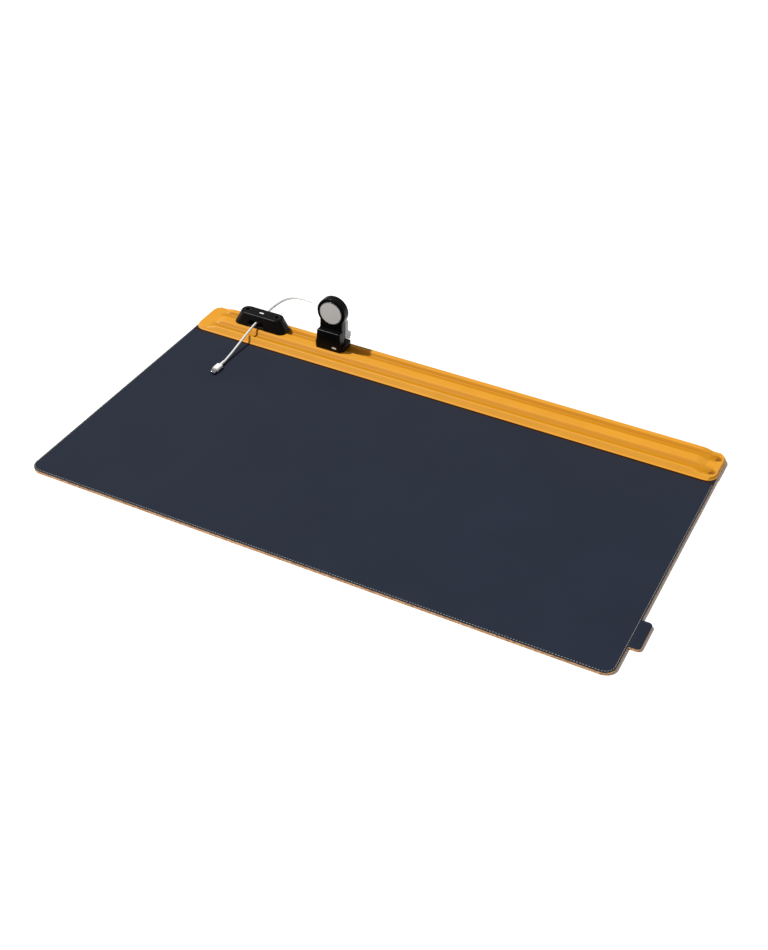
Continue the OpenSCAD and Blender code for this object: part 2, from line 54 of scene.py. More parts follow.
# Sizes below are in millimetres in mat coordinates: x from the mat's left edge, y from its
# front edge, z from the desk.
MAT_W = (RAIL_HIGH.x - RAIL_LOW.x) / MM
MAT_D = (LEATHER_HIGH.y - LEATHER_LOW.y) / MM
MAT_TOP = LEATHER_HIGH.z / MM
MAT_R = 12
RAIL_Y = (RAIL_LOW.y - LEATHER_LOW.y) / MM
RAIL_D = MAT_D - RAIL_Y
RAIL_H = RAIL_HIGH.z / MM - MAT_TOP
CHANNELS = (13.6, 38.2)
FLOOR_H = 2.2


def at(x, y, z):
    """The row-frame point, in metres, of a point in mat coordinates."""
    return Vector((LEATHER_LOW.x + x * MM, LEATHER_LOW.y + y * MM, z * MM))


def in_mat(point):
    """The mat coordinates of a row-frame point."""
    return np.array([(point[0] - LEATHER_LOW.x) / MM, (point[1] - LEATHER_LOW.y) / MM, point[2] / MM])


def node_box(node):
    low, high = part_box(node)
    return in_mat(low), in_mat(high)


# ---- camera ----

CAMERA_PLACE = Vector((0.50912, -1.05696, 0.89001))
CAMERA_TARGET = Vector((0.004973, -0.019494, 0.004))
CAMERA_ROLL = math.radians(1.525)
CAMERA_LENS = 54.218


def make_camera():
    data = bpy.data.cameras.new("camera")
    data.sensor_width = 36
    data.lens = CAMERA_LENS
    camera = bpy.data.objects.new("camera", data)
    bpy.context.scene.collection.objects.link(camera)
    ahead = (CAMERA_TARGET - CAMERA_PLACE).normalized()
    right = ahead.cross(Vector((0, 0, 1))).normalized()
    up = right.cross(ahead)
    tilted_right = math.cos(CAMERA_ROLL) * right + math.sin(CAMERA_ROLL) * up
    tilted_up = math.cos(CAMERA_ROLL) * up - math.sin(CAMERA_ROLL) * right
    turn = Matrix((tilted_right, tilted_up, -ahead)).transposed()
    camera.matrix_world = Matrix.Translation(CAMERA_PLACE) @ turn.to_4x4()
    bpy.context.scene.camera = camera


make_camera()

# ---- materials ----


class Shader:
    """A Principled material and short ways to add nodes to it."""

    def __init__(self, name, roughness, metallic=0.0, specular=0.5, coat=0.0, sheen=0.0):
        self.material = bpy.data.materials.new(name)
        self.material.use_nodes = True
        self.nodes = self.material.node_tree.nodes
        self.links = self.material.node_tree.links
        self.bsdf = self.nodes["Principled BSDF"]
        self.set("Roughness", roughness)
        self.set("Metallic", metallic)
        self.set("Specular IOR Level", specular)
        self.set("Coat Weight", coat)
        self.set("Sheen Weight", sheen)
        coordinates = self.nodes.new("ShaderNodeTexCoord")
        self.place = coordinates.outputs["Object"]

    def set(self, socket, value):
        self.bsdf.inputs[socket].default_value = value

    def link(self, output, socket):
        self.links.new(output, self.bsdf.inputs[socket])

    def stretched(self, scale):
        mapping = self.nodes.new("ShaderNodeMapping")
        mapping.inputs["Scale"].default_value = scale
        self.links.new(self.place, mapping.inputs["Vector"])
        return mapping.outputs["Vector"]

    def noise(self, size_mm, detail=3.0, rough=0.5, vector=None):
        node = self.nodes.new("ShaderNodeTexNoise")
        node.inputs["Scale"].default_value = 1 / (size_mm * MM)
        node.inputs["Detail"].default_value = detail
        node.inputs["Roughness"].default_value = rough
        self.links.new(vector or self.place, node.inputs["Vector"])
        return node.outputs["Fac"]

    def cells(self, size_mm, feature="F1", output="Distance", vector=None):
        node = self.nodes.new("ShaderNodeTexVoronoi")
        node.feature = feature
        node.inputs["Scale"].default_value = 1 / (size_mm * MM)
        self.links.new(vector or self.place, node.inputs["Vector"])
        return node.outputs[output]

    def ramp(self, value, stops):
        """stops: [(position, colour or grey), ...]"""
        node = self.nodes.new("ShaderNodeValToRGB")
        for i, (position, colour) in enumerate(stops):
            element = node.color_ramp.elements[i] if i < 2 else node.color_ramp.elements.new(position)
            element.position = position
            rgb = (colour,) * 3 if isinstance(colour, (int, float)) else colour
            element.color = (*rgb, 1)
        self.links.new(value, node.inputs["Fac"])
        return node.outputs["Color"]

    def maths(self, operation, a, b):
        node = self.nodes.new("ShaderNodeMath")
        node.operation = operation
        for socket, value in zip(node.inputs, (a, b)):
            if isinstance(value, (int, float)):
                socket.default_value = value
            else:
                self.links.new(value, socket)
        return node.outputs["Value"]

    def mixed(self, factor, a, b):
        node = self.nodes.new("ShaderNodeMix")
        node.data_type = "RGBA"
        if isinstance(factor, (int, float)):
            node.inputs["Factor"].default_value = factor
        else:
            self.links.new(factor, node.inputs["Factor"])
        for socket, value in ((node.inputs[6], a), (node.inputs[7], b)):
            if isinstance(value, tuple):
                socket.default_value = (*value, 1)
            else:
                self.links.new(value, socket)
        return node.outputs[2]

    def bumped(self, heights):
        """heights: [(value, height in mm), ...], added one on the other."""
        normal = None
        for value, height in heights:
            node = self.nodes.new("ShaderNodeBump")
            node.inputs["Distance"].default_value = height * MM
            self.links.new(value, node.inputs["Height"])
            if normal is not None:
                self.links.new(normal, node.inputs["Normal"])
            normal = node.outputs["Normal"]
        self.link(normal, "Normal")


# The last colour is a painted contact shadow: a warm dark band on the leather just in front of the rail, the
# reach below deep in mm.
NAVY, NAVY_PALE, RAIL_CONTACT_SHADOW = (0.0120, 0.0170, 0.0300), (0.0135, 0.0188, 0.0328), (0.027, 0.007, 0.001)
CONTACT_SHADOW_REACH = 5


def leather_finish():
    """Navy leather, with a painted warm contact shadow of the rail on it where they meet."""
    s = Shader("navy_leather", 0.55, specular=0.14)
    grain = s.cells(1.15, "SMOOTH_F1")
    drift = s.noise(90, 2)
    tone = s.mixed(s.ramp(drift, [(0.3, 0.0), (0.7, 1.0)]), NAVY, NAVY_PALE)
    place = s.nodes.new("ShaderNodeSeparateXYZ")
    s.links.new(s.place, place.inputs["Vector"])
    # painted shadow of the rail's lip, in a narrow band just in front of the rail
    ahead = s.maths("SUBTRACT", RAIL_LOW.y + MM, place.outputs["Y"])
    gap = s.maths("MULTIPLY", ahead, 1 / (CONTACT_SHADOW_REACH * MM))
    shade = s.ramp(gap, [(0.0, 0.0), (1.0, 0.0), (0.12, 1.0), (0.48, 1.0), (0.8, 0.0)])
    s.link(s.mixed(shade, tone, RAIL_CONTACT_SHADOW), "Base Color")
    s.link(s.ramp(s.noise(9, 4), [(0.3, 0.52), (0.7, 0.60)]), "Roughness")
    s.bumped([(grain, 0.035), (s.cells(0.55), 0.01), (s.noise(0.25, 2), 0.005)])
    return s.material


def cork_finish():
    s = Shader("cork", 0.85, specular=0.25)
    granules = s.cells(1.6, output="Color")
    tone = s.nodes.new("ShaderNodeSeparateColor")
    s.links.new(granules, tone.inputs["Color"])
    colour = s.ramp(tone.outputs["Red"], [(0.0, (0.30, 0.155, 0.072)), (0.25, (0.50, 0.275, 0.135)),
                                          (0.75, (0.60, 0.345, 0.180)), (1.0, (0.68, 0.42, 0.235))])
    specks = s.ramp(s.noise(0.9, 4, 0.65), [(0.36, 0.0), (0.46, 1.0)])
    s.link(s.mixed(specks, (0.20, 0.095, 0.042), colour), "Base Color")
    s.bumped([(s.cells(1.6, "DISTANCE_TO_EDGE"), 0.08), (s.noise(0.5, 4), 0.05)])
    return s.material


def thread_finish():
    s = Shader("thread", 0.75, specular=0.3, sheen=0.3)
    s.link(s.ramp(s.noise(0.6, 3), [(0.3, (0.30, 0.29, 0.24)), (0.7, (0.48, 0.46, 0.40))]), "Base Color")
    s.bumped([(s.noise(0.18, 2), 0.03)])
    return s.material


def moulded_finish(name, colour, drift, roughness, grain_mm=0.35, grain_height=0.008, specular=0.5):
    """Moulded plastic: two close tones, a fine spark-eroded grain and a slightly uneven gloss."""
    s = Shader(name, roughness, specular=specular)
    s.link(s.mixed(s.ramp(s.noise(28, 3), [(0.35, 0.0), (0.65, 1.0)]), colour, drift), "Base Color")
    s.link(s.ramp(s.noise(7, 4), [(0.3, roughness - 0.04), (0.7, roughness + 0.05)]), "Roughness")
    s.bumped([(s.noise(grain_mm, 3), grain_height)])
    return s.material


def metal_finish(name, colour, roughness, grain_mm=0.3, stretch=(1, 1, 1)):
    s = Shader(name, roughness, metallic=1.0)
    grain = s.noise(grain_mm, 3, vector=s.stretched(stretch))
    s.link(s.mixed(s.ramp(grain, [(0.3, 0.0), (0.7, 1.0)]), tuple(0.85 * c for c in colour), colour),
           "Base Color")
    s.link(s.ramp(grain, [(0.3, roughness - 0.05), (0.7, roughness + 0.05)]), "Roughness")
    s.bumped([(grain, 0.004)])
    return s.material


def woven_finish(name, colour, dark):
    """A close weave, such as the tie's strap or adhesive tape's carrier."""
    s = Shader(name, 0.85, specular=0.2, sheen=0.4)
    weave = s.cells(0.5, "F1", vector=s.stretched((1, 1, 1)))
    s.link(s.mixed(s.ramp(weave, [(0.1, 0.0), (0.6, 1.0)]), colour, dark), "Base Color")
    s.bumped([(weave, 0.06)])
    return s.material


def board_finish():
    s = Shader("circuit_board", 0.35, coat=0.3)
    tracks = s.cells(1.4, "DISTANCE_TO_EDGE")
    s.link(s.mixed(s.ramp(tracks, [(0.05, 0.0), (0.09, 1.0)]), (0.03, 0.17, 0.07), (0.012, 0.09, 0.04)),
           "Base Color")
    s.bumped([(tracks, 0.02)])
    return s.material


MUSTARD, MUSTARD_DEEP = (0.642, 0.284, 0.020), (0.618, 0.268, 0.018)
# Painted shade: the darker channel tone and the dark bowl tone stand in for the shade in these hollows.
MUSTARD_CHANNEL_SHADE, MUSTARD_BOWL_SHADE = (0.488, 0.202, 0.003), (0.13, 0.04, 0.003)
# The middles of the rail's two bowls, in the row frame, and how far their painted shade reaches
BOWLS = [(LEATHER_LOW.x + (MAT_W - 7.0) * MM, RAIL_LOW.y + middle * MM) for middle in CHANNELS]
BOWL_LENGTH, BOWL_WIDTH, BOWL_TOP = 4.6, 4.4, MAT_TOP + 3.42
# Half the width and the heights between which a channel's painted shade fades, and where it starts
CHANNEL_HALF, CHANNEL_SHADE_FADE, CHANNEL_START = 7.6, (MAT_TOP + 2.3, MAT_TOP + 5.9), (14, 25)


def rail_finish():
    """Mustard plastic, with painted shade: a darker tone on the channel floors and a dark one at the bottom
    of the round bowls.
    """
    s = Shader("mustard_plastic", 0.42, specular=0.2)
    place = s.nodes.new("ShaderNodeSeparateXYZ")
    s.links.new(s.place, place.inputs["Vector"])
    x, y, z = (place.outputs[axis] for axis in "XYZ")
    shade = 0.0
    # painted shade at the bottom of each round bowl, darkest in its middle
    for bowl_x, bowl_y in BOWLS:
        across = s.maths("MULTIPLY", s.maths("SUBTRACT", y, bowl_y), 1 / (BOWL_WIDTH * MM))
        along = s.maths("MULTIPLY", s.maths("SUBTRACT", x, bowl_x), 1 / (BOWL_LENGTH * MM))
        reach = s.maths("POWER", s.maths("ADD", s.maths("MULTIPLY", across, across),
                                         s.maths("MULTIPLY", along, along)), 0.5)
        bowl_shade = s.ramp(reach, [(0.0, 1.0), (1.0, 0.0), (0.6, 0.85)])
        shade = s.maths("ADD", bowl_shade, shade)
    tone = s.mixed(s.ramp(s.noise(28, 3), [(0.35, 0.0), (0.65, 1.0)]), MUSTARD, MUSTARD_DEEP)
    low = s.maths("LESS_THAN", z, BOWL_TOP * MM)
    # painted shade on the channel floors, fading out up their walls, from where the channels start to the
    # bowls
    floor_shade = s.ramp(s.maths("MULTIPLY", z, 1 / (20 * MM)),
                    [(CHANNEL_SHADE_FADE[0] / 20, 1.0), (CHANNEL_SHADE_FADE[1] / 20, 0.0)])
    channels = 0.0
    for _, middle in BOWLS:
        across = s.maths("ABSOLUTE", s.maths("SUBTRACT", y, middle), 0.0)
        channels = s.maths("ADD", s.maths("LESS_THAN", across, CHANNEL_HALF * MM), channels)
    from_left = s.maths("MULTIPLY", s.maths("SUBTRACT", x, RAIL_LOW.x), 1 / (50 * MM))
    starts = s.ramp(from_left, [(CHANNEL_START[0] / 50, 0.0), (CHANNEL_START[1] / 50, 1.0)])
    floor_shade = s.maths("MULTIPLY", floor_shade, s.maths("MULTIPLY", starts, s.maths("LESS_THAN", x, BOWLS[0][0])))
    # the channel floors take the painted shade tone
    tone = s.mixed(s.maths("MULTIPLY", floor_shade, channels), tone, MUSTARD_CHANNEL_SHADE)
    # the bowls' painted shade, only below their rims
    shaded = s.maths("MULTIPLY", s.maths("MULTIPLY", shade, low), 0.9)
    s.link(s.mixed(shaded, tone, MUSTARD_BOWL_SHADE), "Base Color")
    s.link(s.ramp(s.noise(7, 4), [(0.3, 0.38), (0.7, 0.47)]), "Roughness")
    s.bumped([(s.noise(0.4, 3), 0.010)])
    return s.material


FINISH = {
    "mat_leather": leather_finish(),
    "mat_core": moulded_finish("stiffener", (0.25, 0.25, 0.24), (0.21, 0.21, 0.20), 0.7),
    "mat_cork": cork_finish(),
    "thread": thread_finish(),
    "rail": rail_finish(),
    "black_plastic": moulded_finish("black_plastic", (0.006, 0.006, 0.006), (0.008, 0.008, 0.008), 0.55,
                                    specular=0.2),
    "steel": metal_finish("strip_steel", (0.42, 0.43, 0.45), 0.38, stretch=(0.05, 1, 1)),
    "tape": woven_finish("tape", (0.70, 0.67, 0.58), (0.60, 0.57, 0.48)),
    "screws": metal_finish("zinc", (0.46, 0.47, 0.48), 0.32),
    "dock_black": moulded_finish("dock_black", (0.0020, 0.0020, 0.0021), (0.0028, 0.0028, 0.0029), 0.38,
                                 0.45, 0.008, 0.14),
    "stand_black": moulded_finish("stand_black", (0.0025, 0.0025, 0.0027), (0.0036, 0.0036, 0.0038), 0.28,
                                  0.4, 0.004, 0.12),
    "black_rubber": moulded_finish("black_rubber", (0.010, 0.010, 0.010), (0.014, 0.014, 0.014), 0.72,
                                   0.3, 0.012, 0.3),
    "magnets": metal_finish("nickel", (0.60, 0.60, 0.58), 0.16),
    "puck_metal": metal_finish("bead_blasted_aluminium", (0.60, 0.61, 0.62), 0.34, 0.15),
    "puck_white": moulded_finish("puck_white", (0.80, 0.80, 0.78), (0.77, 0.77, 0.75), 0.18, 0.8, 0.001),
    "copper": metal_finish("copper_wire", (0.55, 0.25, 0.12), 0.30, 0.3),
    "ferrite": moulded_finish("ferrite", (0.04, 0.04, 0.045), (0.055, 0.055, 0.06), 0.6, 0.3, 0.02),
    "board": board_finish(),
    "lead_white": moulded_finish("lead_white", (0.78, 0.78, 0.77), (0.74, 0.74, 0.73), 0.48, 0.5, 0.004),
    "lead_tie": woven_finish("lead_tie", (0.68, 0.68, 0.67), (0.42, 0.42, 0.41)),
    "plug_white": moulded_finish("plug_white", (0.80, 0.80, 0.79), (0.78, 0.78, 0.77), 0.26, 0.8, 0.001),
    "plug_metal": metal_finish("contact_metal", (0.62, 0.63, 0.64), 0.22),
}
SLOT_OF = {row["node"]: row["material_slot"] for row in frame["record"]["subparts"]}


def finish_cad_nodes():
    """Every CAD node takes its slot's finish."""
    for name, node in frame["nodes"].items():
        node.data.materials.clear()
        node.data.materials.append(FINISH[SLOT_OF[name]])


finish_cad_nodes()

# ---- mesh helpers ----


def collect(name, mesh, body, slot, sharp=30):
    """Puts a mesh in the scene as one piece on a body, smooth but for its sharp edges."""
    mesh.polygons.foreach_set("use_smooth", [True] * len(mesh.polygons))
    mesh.set_sharp_from_angle(angle=math.radians(sharp))
    piece = bpy.data.objects.new(name, mesh)
    bpy.context.scene.collection.objects.link(piece)
    if body:
        mesh.materials.append(FINISH[slot])
        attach(piece, body)
    return piece


def mesh_of(name, points, faces):
    """points are in mat coordinates, in millimetres."""
    mesh = bpy.data.meshes.new(name)
    places = np.array(points, float).reshape(-1, 3) * MM
    places += np.array((LEATHER_LOW.x, LEATHER_LOW.y, 0))
    mesh.from_pydata(places.tolist(), [], faces)
    mesh.validate()
    return mesh


def loft(rings, closed_ends=True):
    """(points, faces) of a skin over equal closed rings, the first and last filled in."""
    count = len(rings[0])
    points = [p for ring in rings for p in ring]
    faces = []
    for i in range(len(rings) - 1):
        for k in range(count):
            m = (k + 1) % count
            faces.append((i * count + k, i * count + m, (i + 1) * count + m, (i + 1) * count + k))
    if closed_ends:
        faces.append(tuple(reversed(range(count))))
        faces.append(tuple(range((len(rings) - 1) * count, len(rings) * count)))
    return points, faces


def joined(parts):
    """One (points, faces) from several."""
    points, faces = [], []
    for part_points, part_faces in parts:
        start = len(points)
        points += list(part_points)
        faces += [tuple(start + i for i in face) for face in part_faces]
    return points, faces


def rounded_rect(x0, y0, x1, y1, r, steps=8):
    """Points of a rounded rectangle, anticlockwise from the right of its front edge."""
    points = []
    for cx, cy, turn in ((x1 - r, y0 + r, -90), (x1 - r, y1 - r, 0), (x0 + r, y1 - r, 90),
                         (x0 + r, y0 + r, 180)):
        for i in range(steps + 1):
            a = math.radians(turn + 90 * i / steps)
            points.append((cx + r * math.cos(a), cy + r * math.sin(a)))
    return points


def cylinder(centre, radius, height, axis="z", steps=48):
    """(points, faces) of a closed cylinder from centre along +Z, or along -Y for axis y."""
    rings = []
    for h in (0, height):
        ring = []
        for k in range(steps):
            a = 2 * math.pi * k / steps
            u, v = radius * math.cos(a), radius * math.sin(a)
            local = (u, v, h) if axis == "z" else (u, -h, v)
            ring.append(tuple(c + d for c, d in zip(centre, local)))
        rings.append(ring)
    return loft(rings)


def block(low, high, r=0.0):
    """(points, faces) of a box with upright rounded corners."""
    if r:
        outline = rounded_rect(low[0], low[1], high[0], high[1], r, 6)
    else:
        outline = [(low[0], low[1]), (high[0], low[1]), (high[0], high[1]), (low[0], high[1])]
    return loft([[(x, y, z) for x, y in outline] for z in (low[2], high[2])])


def carved(mesh, cutters, operation="DIFFERENCE"):
    """The mesh with each (points, faces) cut from it, or joined to it."""
    work = bpy.data.objects.new("work", mesh)
    bpy.context.scene.collection.objects.link(work)
    tools = []
    for i, cutter in enumerate(cutters):
        tool = bpy.data.objects.new(f"tool_{i}", mesh_of(f"tool_{i}", *cutter))
        bpy.context.scene.collection.objects.link(tool)
        modifier = work.modifiers.new(f"cut_{i}", "BOOLEAN")
        modifier.operation = operation
        modifier.solver = "EXACT"
        modifier.object = tool
        tools.append(tool)
    seen = work.evaluated_get(bpy.context.evaluated_depsgraph_get())
    result = bpy.data.meshes.new_from_object(seen)
    for thing in (*tools, work):
        bpy.data.objects.remove(thing)
    return result


# ---- the mat ----


def rounded_corner(before, here, after, r, steps=6):
    """Points of an arc of radius r in place of a corner."""
    p, q, s = (np.array(v[:2], float) for v in (before, here, after))
    u, v = (p - q) / np.linalg.norm(p - q), (s - q) / np.linalg.norm(s - q)
    half = math.acos(max(-1, min(1, float(u @ v)))) / 2
    middle = (u + v) / np.linalg.norm(u + v)
    centre = q + middle * r / math.sin(half)
    a, b = q + u * r / math.tan(half) - centre, q + v * r / math.tan(half) - centre
    points = []
    for i in range(steps + 1):
        mix = a * (1 - i / steps) + b * (i / steps)
        points.append(tuple(centre + r * mix / np.linalg.norm(mix)))
    return points


def round_outline(corners, steps=6):
    """corners: [(x, y, radius), ...] of a closed outline."""
    points = []
    for i, here in enumerate(corners):
        points += rounded_corner(corners[i - 1], here, corners[(i + 1) % len(corners)], here[2], steps)
    return points


TAB_Y, TAB_HALF, TAB_REACH, TAB_R = 60.5, 19.0, 11.0, 4


def mat_outline(inset):
    """The mat's outline with its tab, so far in from the edge."""
    right, tab = MAT_W - inset, MAT_W + TAB_REACH - inset
    low, high = TAB_Y - TAB_HALF + inset, TAB_Y + TAB_HALF - inset
    r, inner, outer = max(MAT_R - inset, 1), 0.2 + inset, max(TAB_R - inset, 0.5)
    return round_outline([(inset, inset, r), (right, inset, r), (right, low, inner), (tab, low, outer),
                          (tab, high, outer), (right, high, inner), (right, MAT_D - inset, r),
                          (inset, MAT_D - inset, r)], 8)


def rings_of(rows, outline):
    """rows: [(inset, z), ...]"""
    return [[(x, y, z) for x, y in outline(inset)] for inset, z in rows]


STITCH_IN = 1.3
# Half widths of the stitch groove above and below, and its depth
GROOVE_TOP, GROOVE_FLOOR, GROOVE_DEEP = 0.55, 0.25, 0.16
LEATHER_LOW_Z = LEATHER_LOW.z / MM


def looped(rings):
    """(points, faces) of a skin over equal closed rings, the last joined to the first."""
    points, faces = loft(rings, closed_ends=False)
    count, last = len(rings[0]), (len(rings) - 1) * len(rings[0])
    for k in range(count):
        m = (k + 1) % count
        faces.append((last + k, last + m, m, k))
    return points, faces


def make_leather():
    rows = [(0.05, LEATHER_LOW_Z), (0, LEATHER_LOW_Z + 0.12), (0, MAT_TOP - 0.5), (0.07, MAT_TOP - 0.26),
            (0.24, MAT_TOP - 0.08), (0.5, MAT_TOP)]
    mesh = mesh_of("mat_leather_cover", *loft(rings_of(rows, mat_outline)))

    def frame_line(inset):
        return rounded_rect(inset, inset, MAT_W - inset, MAT_D - inset, MAT_R - inset, 8)

    top, bottom = MAT_TOP + 0.2, MAT_TOP - GROOVE_DEEP
    groove = looped(rings_of([(STITCH_IN + GROOVE_TOP, top), (STITCH_IN - GROOVE_TOP, top),
                              (STITCH_IN - GROOVE_FLOOR, bottom), (STITCH_IN + GROOVE_FLOOR, bottom)],
                             frame_line))
    return collect("mat_leather_cover", carved(mesh, [groove]), "mat", "mat_leather")


leather = make_leather()
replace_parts(leather, "mat_leather")


def make_cork():
    rows = [(0.35, 0), (0.1, 0.12), (0, 0.4), (0, LEATHER_LOW_Z - 0.3), (0.1, LEATHER_LOW_Z - 0.08),
            (0.22, LEATHER_LOW_Z)]
    mesh = mesh_of("mat_cork_layer", *loft(rings_of(rows, mat_outline)))
    low, high = node_box("mat_core")
    recess = block((low[0], low[1], low[2]), (high[0], high[1], high[2] + 2), 8)
    return collect("mat_cork_layer", carved(mesh, [recess]), "mat", "mat_cork")


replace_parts(make_cork(), "mat_base")

STITCH_PITCH, STITCH_L, THREAD_R = 2.85, 1.75, 0.25
STITCH_SLANT = math.radians(6)
THREAD_SINK = 0.09
# The line is walked in short steps and stops short of the rail
STITCH_STEP, STITCH_END = 0.25, 1.5


def stitch_line():
    """(x, y, heading) along the stitches, from the rail down the left side and back up the right."""
    i, r, far = STITCH_IN, MAT_R - STITCH_IN, RAIL_Y - STITCH_END
    legs = [((i, far), (i, i + r)), ((i + r, i), (MAT_W - i - r, i)), ((MAT_W - i, i + r), (MAT_W - i, far))]
    centres = [(i + r, i + r, math.pi), (MAT_W - i - r, i + r, -math.pi / 2)]
    path = []
    for leg, ((x0, y0), (x1, y1)) in enumerate(legs):
        length = math.hypot(x1 - x0, y1 - y0)
        heading = math.atan2(y1 - y0, x1 - x0)
        path += [(x0 + (x1 - x0) * s / length, y0 + (y1 - y0) * s / length, heading)
                 for s in np.arange(0, length, STITCH_STEP)]
        if leg < 2:
            cx, cy, start = centres[leg]
            for s in np.arange(0, math.pi / 2 * r, STITCH_STEP):
                a = start + s / r
                path.append((cx + r * math.cos(a), cy + r * math.sin(a), a + math.pi / 2))
    return path


def make_stitches():
    path = stitch_line()
    every = STITCH_PITCH / STITCH_STEP
    parts = []
    # how far along a stitch each ring is, and its share of the thread's radius
    rings = [(-0.5, 0.12), (-0.44, 0.62), (-0.3, 0.92), (0, 1.0), (0.3, 0.92), (0.44, 0.62), (0.5, 0.12)]
    for n in range(int(len(path) / every)):
        x, y, heading = path[min(round((n + 0.5) * every), len(path) - 1)]
        slant = heading + STITCH_SLANT
        ahead, beside = (math.cos(slant), math.sin(slant)), (-math.sin(slant), math.cos(slant))
        skin = []
        for along, share in rings:
            lift = MAT_TOP - THREAD_SINK + THREAD_SINK * (1 - (2 * along) ** 2)
            skin.append([(x + ahead[0] * along * STITCH_L + beside[0] * THREAD_R * share * math.cos(a),
                          y + ahead[1] * along * STITCH_L + beside[1] * THREAD_R * share * math.cos(a),
                          lift + THREAD_R * share * math.sin(a))
                         for a in (k * math.pi / 4 for k in range(8))])
        parts.append(loft(skin))
    return collect("stitches", mesh_of("stitches", *joined(parts)), "mat", "thread", 80)


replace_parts(make_stitches(), "edge_stitching")

# ---- the rail ----

END_H, FLANGE_T = 3.5, 0.9
UNDERCUT = 0.8
# From either end, where the top starts to rise from the flat end, and over what length
RISE_FROM, RISE_OVER = 16, 14
# The bowls at the right: where they end, their radius and floor, and the length they deepen over
POCKET_X, POCKET_R, POCKET_FLOOR, POCKET_RUN = MAT_W - 7.5, 4.0, 0.6, 14
# The rows of screw holes under the rail
RAIL_SCREW_ROWS, RAIL_SCREW_COLUMNS = (6.6, 45.7), 6


def rail_section():
    """(depth, height) samples of the section across the rail, with its corners rounded."""
    # (depth, height, radius): front slope, front channel, middle ridge, rear channel, rear rim
    turns = [(1.6, 1.0, 0.7), (6.2, RAIL_H, 1.2), (7.7, RAIL_H, 0.9),
             (9.6, FLOOR_H, 1.6), (17.6, FLOOR_H, 1.6),
             (21.1, RAIL_H, 1.2), (31.7, RAIL_H, 1.2),
             (35.0, FLOOR_H, 1.4), (41.4, FLOOR_H, 1.4),
             (43.8, RAIL_H, 1.0), (49.0, RAIL_H, 0.9), (49.9, 1.0, 0.6)]
    corners = [(0, FLANGE_T), *[t[:2] for t in turns], (RAIL_D, FLANGE_T)]
    samples = [(0.0, FLANGE_T - 0.3), (0.12, FLANGE_T - 0.1), (0.4, FLANGE_T)]
    for i, (d, h, r) in enumerate(turns):
        samples += rounded_corner(corners[i], (d, h), corners[i + 2], r, 5)
    samples += [(RAIL_D - 0.4, FLANGE_T), (RAIL_D - 0.12, FLANGE_T - 0.1), (RAIL_D, FLANGE_T - 0.3)]
    return np.array(samples)


def soft_min(a, b, k=0.6):
    """The lesser of two heights, blended where they are closer than k."""
    h = np.clip(0.5 + 0.5 * (b - a) / k, 0, 1)
    return b + (a - b) * h - k * h * (1 - h)


def step_up(t):
    """A smooth step from 0 to 1."""
    t = np.clip(t, 0, 1)
    return t * t * (3 - 2 * t)


def rail_heights(x, y, section):
    """Height above the mat at each (x, y) of the rail's plan, from its front lip."""
    wall = np.interp(y, section[:, 0], section[:, 1])
    end = np.minimum(x, MAT_W - x)
    cap = END_H + np.maximum(end - RISE_FROM, 0) * (RAIL_H + 1 - END_H) / RISE_OVER
    shape = soft_min(wall, cap)
    # the channels fade in from the left and stop at the right in round bowls
    fill = 1 - step_up((x - CHANNEL_START[0]) / (CHANNEL_START[1] - CHANNEL_START[0]))
    left = (x < 30) & (y > 6) & (y < 48)
    shape = np.where(left, shape * (1 - fill) + END_H * fill, shape)
    right = x > POCKET_X - POCKET_RUN
    for middle in CHANNELS:
        across = np.abs(y - middle)
        near = right & (across < 6.5)
        dip = step_up((x - POCKET_X + 11) / 10) * (1 - step_up((across - 2.2) / 2.4))
        sunk = (FLOOR_H - POCKET_FLOOR) * dip
        reach = np.hypot(np.maximum(x - POCKET_X, 0), across)
        past = np.where(x > POCKET_X, step_up((reach - POCKET_R + 0.45) / 0.9), 0)
        shape = np.where(near, (shape - sunk) * (1 - past) + END_H * past, shape)
    beside = [np.abs(y - middle) > POCKET_R + 0.5 for middle in CHANNELS]
    flat = (x > POCKET_X) & beside[0] & beside[1]
    shape = np.where(flat & (shape > FLANGE_T + 0.3) & (y > 5) & (y < 48.5), END_H, shape)
    # the thin flange and the wall inside it run on round the ends
    inset = edge_distance(x, y)
    wall_in = FLANGE_T + np.maximum(inset - 1.0, 0) * 3
    lip = np.where(inset < 0.4, FLANGE_T - 0.3 * (1 - np.maximum(inset, 0) / 0.4) ** 2, wall_in)
    return np.maximum(np.minimum(soft_min(shape, lip, 0.25), RAIL_H), 0.55)


def edge_distance(x, y):
    """How far inside the rail's rounded outline each (x, y) is."""
    r = MAT_R
    dx = np.minimum(x, MAT_W - x)
    dy = np.minimum(y, RAIL_D - y)
    corner = (dx < r) & (dy < r)
    return np.where(corner, r - np.hypot(r - np.minimum(dx, r), r - np.minimum(dy, r)), np.minimum(dx, dy))


